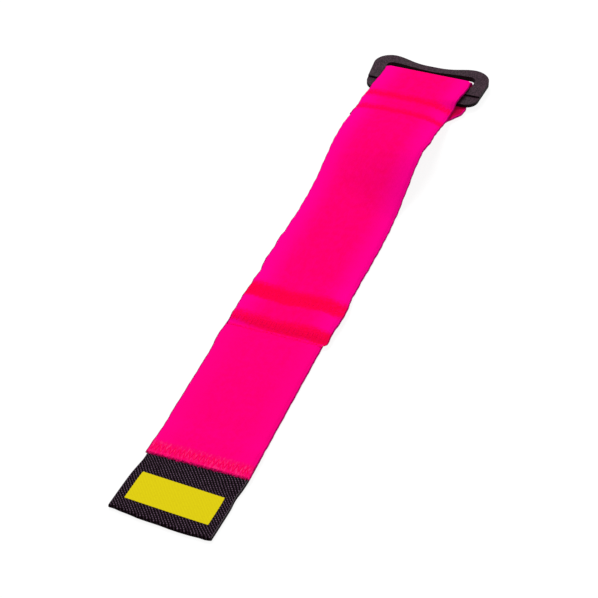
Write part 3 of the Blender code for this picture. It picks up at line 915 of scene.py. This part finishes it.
def loop_rows():
    """Stations of the loop tape, and the distance of each along the top run.

    The distance is None in the fold, and negative in the tail.
    """
    top_middle = OVER_RING + TAPE_THICKNESS / 2
    radius = (top_middle - TAPE_THICKNESS / 2) / 2

    def outward(along, across):
        return stray(along, across, LOOP_LEFT_EDGE, LOOP_RIGHT_EDGE, LOOP_RIPPLE)

    def cut_row(across):
        left = loop_side(LOOP_START) + across * LOOP_WIDTH / 2 * LOOP_CUT_WIDTH
        along = LOOP_START + waves(across, LOOP_CUT_WAVES)
        return place(along, left, loop_height(LOOP_START, across))

    def top_row(along):
        side = loop_side(along)
        return lambda across: place(
            along, side + across * LOOP_WIDTH / 2 + outward(along, across),
            loop_height(along, across),
        )

    def fold_row(turn):
        along = FOLD_CENTRE + radius * math.sin(turn)
        height = top_middle - radius + radius * math.cos(turn)
        side = mix(FOLD_SIDE, tail_side(FOLD_CENTRE), turn / math.pi)
        return lambda across: place(
            along, side + across * LOOP_WIDTH / 2 + outward(along, across), height
        )

    def tail_row(along):
        side = tail_side(along)
        return lambda across: place(
            along,
            side + across * LOOP_WIDTH / 2 + stray(along, across, (), TAIL_RIGHT_EDGE, TAIL_RIPPLE),
            tail_height(along, across),
        )

    top = steps(LOOP_START, FOLD_CENTRE, LOOP_STEP)[:-1]
    back = steps(FOLD_CENTRE, TAIL_END, LOOP_STEP)[1:]
    turns = [math.pi * i / LOOP_FOLD_STEPS for i in range(LOOP_FOLD_STEPS + 1)]
    rows = [cut_row] + [top_row(s) for s in top[1:]]
    rows += [fold_row(turn) for turn in turns] + [tail_row(s) for s in back]
    return rows, top + [None] * len(turns) + [-s for s in back]


loop_stations, loop_places = loop_rows()
loop_on_top = [along is not None and along > 0.0 for along in loop_places]


def loop_face(along, across):
    return tape_face(
        LOOP_WIDTH, along, across, LAP_ROWS + RING_ROWS, LOOP_DIP, LOOP_START, LOOP_CUT_LEVEL
    )


def loop_inner(i, across):
    """Inner face of the loop tape. At the cut end it comes down on the hook tape."""
    down = 0.0
    if loop_on_top[i]:
        down = 1.0 - ease((loop_places[i] - LOOP_START) / LOOP_START_RAMP)
    return TAPE_THICKNESS / 2 - SKIN + GAP * down


def loop_outer(i, across):
    """Outer face of the loop tape. It has no sewn rows beyond the top run."""
    return loop_face(loop_places[i] if loop_on_top[i] else math.inf, across)


def band(along, start, end, rise, fall):
    """1 from start to end, with soft edges outside them."""
    return ease((along - start + rise) / rise) * (1.0 - ease((along - end) / fall))


def loop_crush(i, across):
    """Soft bands of pressed pile, darkened partly with painted shade, two at the lap and two before
    the ring.
    """
    if not loop_on_top[i]:
        return 0.0
    along = loop_places[i] + waves(across, CRUSH_WANDER)
    near_start = LOOP_START + (2.0 + 1.2 * across) * MM
    near = band(along, near_start, *NEAR_CRUSH) * (0.8 - 0.12 * across)
    far = band(along, *FAR_CRUSH) * (0.92 + 0.08 * across)
    return max(near, far, RING_CRUSH * sewn_dip(along, RING_ROWS, RING_CRUSH_REACH))


# Deep, bright, painted highlight at the borders, and a crushed colour darkened partly with painted
# shade.
loop_colours = (
    (0.97, 0.0004, 0.138), (1.0, 0.0004, 0.182), (1.0, 0.0006, 0.262), (0.98, 0.0006, 0.062),
)
loop_finish = cloth_finish(
    "pink_loop_tape", loop_colours, clump=0.28, streak=0.9, fray=0.0, bump=0.5, painted_glow=0.10
)
loop_strip = cloth_strip(
    "loop_strip", loop_stations, LOOP_WIDTH, loop_outer, loop_inner,
    tape_columns + [LOOP_WIDTH / 2], loop_crush,
)
loop_strip.data.materials.append(loop_finish)
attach(loop_strip, "root")
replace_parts(loop_strip, "loop_tape")


def loop_top(along, across):
    return loop_height(along, across) + loop_face(along, across)


# The loose fibres at the loop tape's cut end have a strong painted glow, which keeps their shaded
# sides bright.
loop_yarn = yarn_finish(
    "pink_loop_yarn", dark=(0.97, 0.0005, 0.13), light=(1.0, 0.0006, 0.20), painted_glow=0.38
)
cut_fibres(
    "loop_end_fibres", LOOP_START, LOOP_SIDE, LOOP_WIDTH,
    lambda across: loop_top(LOOP_START + FIBRE_ROOT, across), TAPE_THICKNESS, loop_yarn,
)


# The other four rows of thread are sewn like the one at the tab. Two hold the lap of the tapes and
# two the fold round the ring, and each shows on both sides of the cloth.
def tail_under(along, across):
    return tail_height(along, across) - TAPE_THICKNESS / 2


for end, row in zip(("near", "far"), LAP_ROWS):
    lap_thread = thread_row("lap_thread_" + end, row, LOOP_WIDTH, LOOP_SIDE, loop_top)
    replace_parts(lap_thread, "lap_stitches_" + end)
    thread_row("lap_thread_under_" + end, row, HOOK_WIDTH, HOOK_SIDE, resting_face, sunk=1.0)
for end, row in zip(("near", "far"), RING_ROWS):
    ring_thread = thread_row("ring_thread_" + end, row, LOOP_WIDTH, LOOP_SIDE, loop_top)
    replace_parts(ring_thread, "ring_stitches_" + end)
    thread_row(
        "ring_thread_under_" + end, row, LOOP_WIDTH, tail_side(row), tail_under, sunk=1.0
    )


# The cinch ring is moulded in one piece from black nylon, with a fine spark grain on every face.
# Its near plate is a step thinner than the rail beside it, and all its edges are rounded over.
RING_TURN = math.radians(0.6)
RING_WIDTH = 70.0 * MM
RING_LENGTH = 30.8 * MM
RING_BOTTOM = 2.0 * MM
RING_THICKNESS = 3.1 * MM
PLATE_WIDTH = 9.4 * MM
PLATE_RECESS = 1.0 * MM
SLOT_NEAR = RAIL_END - RING_DISTANCE
SLOT_LENGTH = 54.0 * MM
SLOT_OPENING = 9.7 * MM
SLOT_BOW = 2.2 * MM
SLOT_FAR_CORNER = 3.5 * MM
SLOT_NEAR_CORNER = 3.0 * MM
LOBE_RADIUS = 10.6 * MM
LOBE_REACH = 4.6 * MM
LOBE_SIDE = RING_WIDTH / 2 - LOBE_RADIUS
LOBE_ALONG = RING_LENGTH + LOBE_REACH - LOBE_RADIUS
LOBE_SWEEP = 1.8
WAIST_INSET = 1.3 * MM
NEAR_CORNER = 7.8 * MM
NEAR_TURN, NEAR_POINTS = 96, 14
LOBE_TURN, LOBE_POINTS = 98, 30
WAIST_POINTS = 28
SLOT_CORNER_POINTS = 10
BOW_POINTS = 24
RING_ROUNDING = 0.95 * MM
ROUNDING_STEPS = 4
ROUNDING_FROM = math.radians(40)
CLOSE_POINTS = 0.002 * MM

ring_finish, tree = new_finish("black_moulded_nylon")
at = node(tree, "TexCoord").outputs["Object"]
grain = node(tree, "TexNoise", Vector=at, Scale=1250.0, Detail=4.0, Roughness=0.7).outputs["Fac"]
cloudy = node(tree, "TexNoise", Vector=at, Scale=140.0, Detail=3.0).outputs["Fac"]
pit, peak = (0.006, 0.002, 0.004, 1.0), (0.070, 0.033, 0.051, 1.0)
speckled = blend_colours(tree, ramp(tree, grain, 0.40, 0.62), pit, peak)
dulled = calc(tree, "MULTIPLY", cloudy, 0.3)
speckled = blend_colours(tree, dulled, speckled, (0.030, 0.011, 0.021, 1.0))
# Painted shade: the ring's upright faces are darkened.
painted_shade_upright = calc(tree, "MULTIPLY", steep(tree), 0.9)
speckled = blend_colours(tree, painted_shade_upright, speckled, (0.003, 0.001, 0.002, 1.0))
relief = node(tree, "Bump", Height=grain, Strength=0.4, Distance=0.00012)
rough = calc(tree, "MULTIPLY_ADD", cloudy, 0.2, 0.46)
surface = node(
    tree, "BsdfPrincipled", Base_Color=speckled, Roughness=rough, Normal=relief.outputs["Normal"],
    Specular_IOR_Level=0.05,
)
node(tree, "OutputMaterial", Surface=surface.outputs[0])


def arc(centre, radius, start, end, count):
    """Points of an arc in plan; angles run from the far direction towards the side."""
    turns = [math.radians(mix(start, end, i / count)) for i in range(count + 1)]
    return [(centre[0] + radius * math.cos(a), centre[1] + radius * math.sin(a)) for a in turns]


def outline_of_ring():
    """The left half of the ring's outline in plan, from the near edge round to the far one."""
    near_side = RING_WIDTH / 2 - WAIST_INSET - NEAR_CORNER
    half = [(0.0, 0.0)]
    half += arc((NEAR_CORNER, near_side), NEAR_CORNER, 180, NEAR_TURN, NEAR_POINTS)
    half += arc((LOBE_ALONG, LOBE_SIDE), LOBE_RADIUS, LOBE_TURN, 0, LOBE_POINTS)
    sides = [LOBE_SIDE * (1.0 - i / WAIST_POINTS) for i in range(1, WAIST_POINTS + 1)]
    reach = [LOBE_REACH * ease(side / LOBE_SIDE) ** LOBE_SWEEP for side in sides]
    return half + [(RING_LENGTH + out, side) for out, side in zip(reach, sides)]


def outline_of_slot():
    """The left half of the slot's outline, in the same way."""
    far = SLOT_NEAR + SLOT_OPENING + SLOT_BOW
    end = SLOT_LENGTH / 2
    bow_side = end - SLOT_FAR_CORNER
    corner = (SLOT_NEAR + SLOT_NEAR_CORNER, end - SLOT_NEAR_CORNER)
    half = [(SLOT_NEAR, 0.0)] + arc(corner, SLOT_NEAR_CORNER, 180, 90, SLOT_CORNER_POINTS)
    half += arc((far - SLOT_FAR_CORNER, bow_side), SLOT_FAR_CORNER, 90, 0, SLOT_CORNER_POINTS)
    sides = [bow_side * (1.0 - i / BOW_POINTS) for i in range(1, BOW_POINTS + 1)]
    return half + [(far - SLOT_BOW * (1.0 - ease(side / bow_side)), side) for side in sides]


plan = bpy.data.curves.new("ring_plan", "CURVE")
plan.dimensions = "2D"
plan.fill_mode = "BOTH"
plan.extrude = RING_THICKNESS / 2
for half in (outline_of_ring(), outline_of_slot()):
    outline = [(x, -y) for x, y in half] + [(x, y) for x, y in reversed(half) if y > SAME_PLACE]
    spline = plan.splines.new("POLY")
    spline.points.add(len(outline) - 1)
    for point, (x, y) in zip(spline.points, outline):
        point.co = (x, y, 0.0, 1.0)
    spline.use_cyclic_u = True
blank = add_object("ring_blank", plan)
ring_mesh = as_mesh(blank)
bpy.data.objects.remove(blank)
lobes = place(RING_DISTANCE + LOBE_ALONG, 0.0, RING_BOTTOM + RING_THICKNESS / 2)
turn = Matrix.Rotation(RING_TURN, 4, "Z")
to_place = Matrix.Translation(lobes) @ turn @ Matrix.Translation((-LOBE_ALONG, 0, 0))
shape = bmesh.new()
shape.from_mesh(ring_mesh)
bmesh.ops.remove_doubles(shape, verts=shape.verts, dist=CLOSE_POINTS)
bmesh.ops.transform(shape, matrix=to_place, verts=shape.verts)
bmesh.ops.recalc_face_normals(shape, faces=shape.faces)
shape.to_mesh(ring_mesh)
shape.free()
ring_body = add_object("ring_body", ring_mesh)

shape = bmesh.new()
bmesh.ops.create_cube(shape, size=1.0)
size = Matrix.Diagonal((2 * PLATE_WIDTH, 2 * RING_WIDTH, 2 * PLATE_RECESS, 1.0))
on_top = Matrix.Translation((0, 0, RING_THICKNESS / 2))
bmesh.ops.transform(shape, matrix=to_place @ on_top @ size, verts=shape.verts)
recess_mesh = bpy.data.meshes.new("plate_recess")
shape.to_mesh(recess_mesh)
shape.free()
recess = add_object("plate_recess", recess_mesh)

cut = ring_body.modifiers.new("plate recess", "BOOLEAN")
cut.operation = "DIFFERENCE"
cut.solver = "EXACT"
cut.object = recess
rounding = ring_body.modifiers.new("rounded edges", "BEVEL")
rounding.width = RING_ROUNDING
rounding.segments = ROUNDING_STEPS
rounding.limit_method = "ANGLE"
rounding.angle_limit = ROUNDING_FROM
rounding.harden_normals = True
ring_mesh.shade_smooth()
finished = as_mesh(ring_body)
bpy.data.objects.remove(ring_body)
bpy.data.objects.remove(recess)
finished.name = "moulded_ring"
finished.materials.clear()
finished.materials.append(ring_finish)
moulded_ring = add_object("moulded_ring", finished)
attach(moulded_ring, "root")
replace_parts(moulded_ring, "cinch_ring")
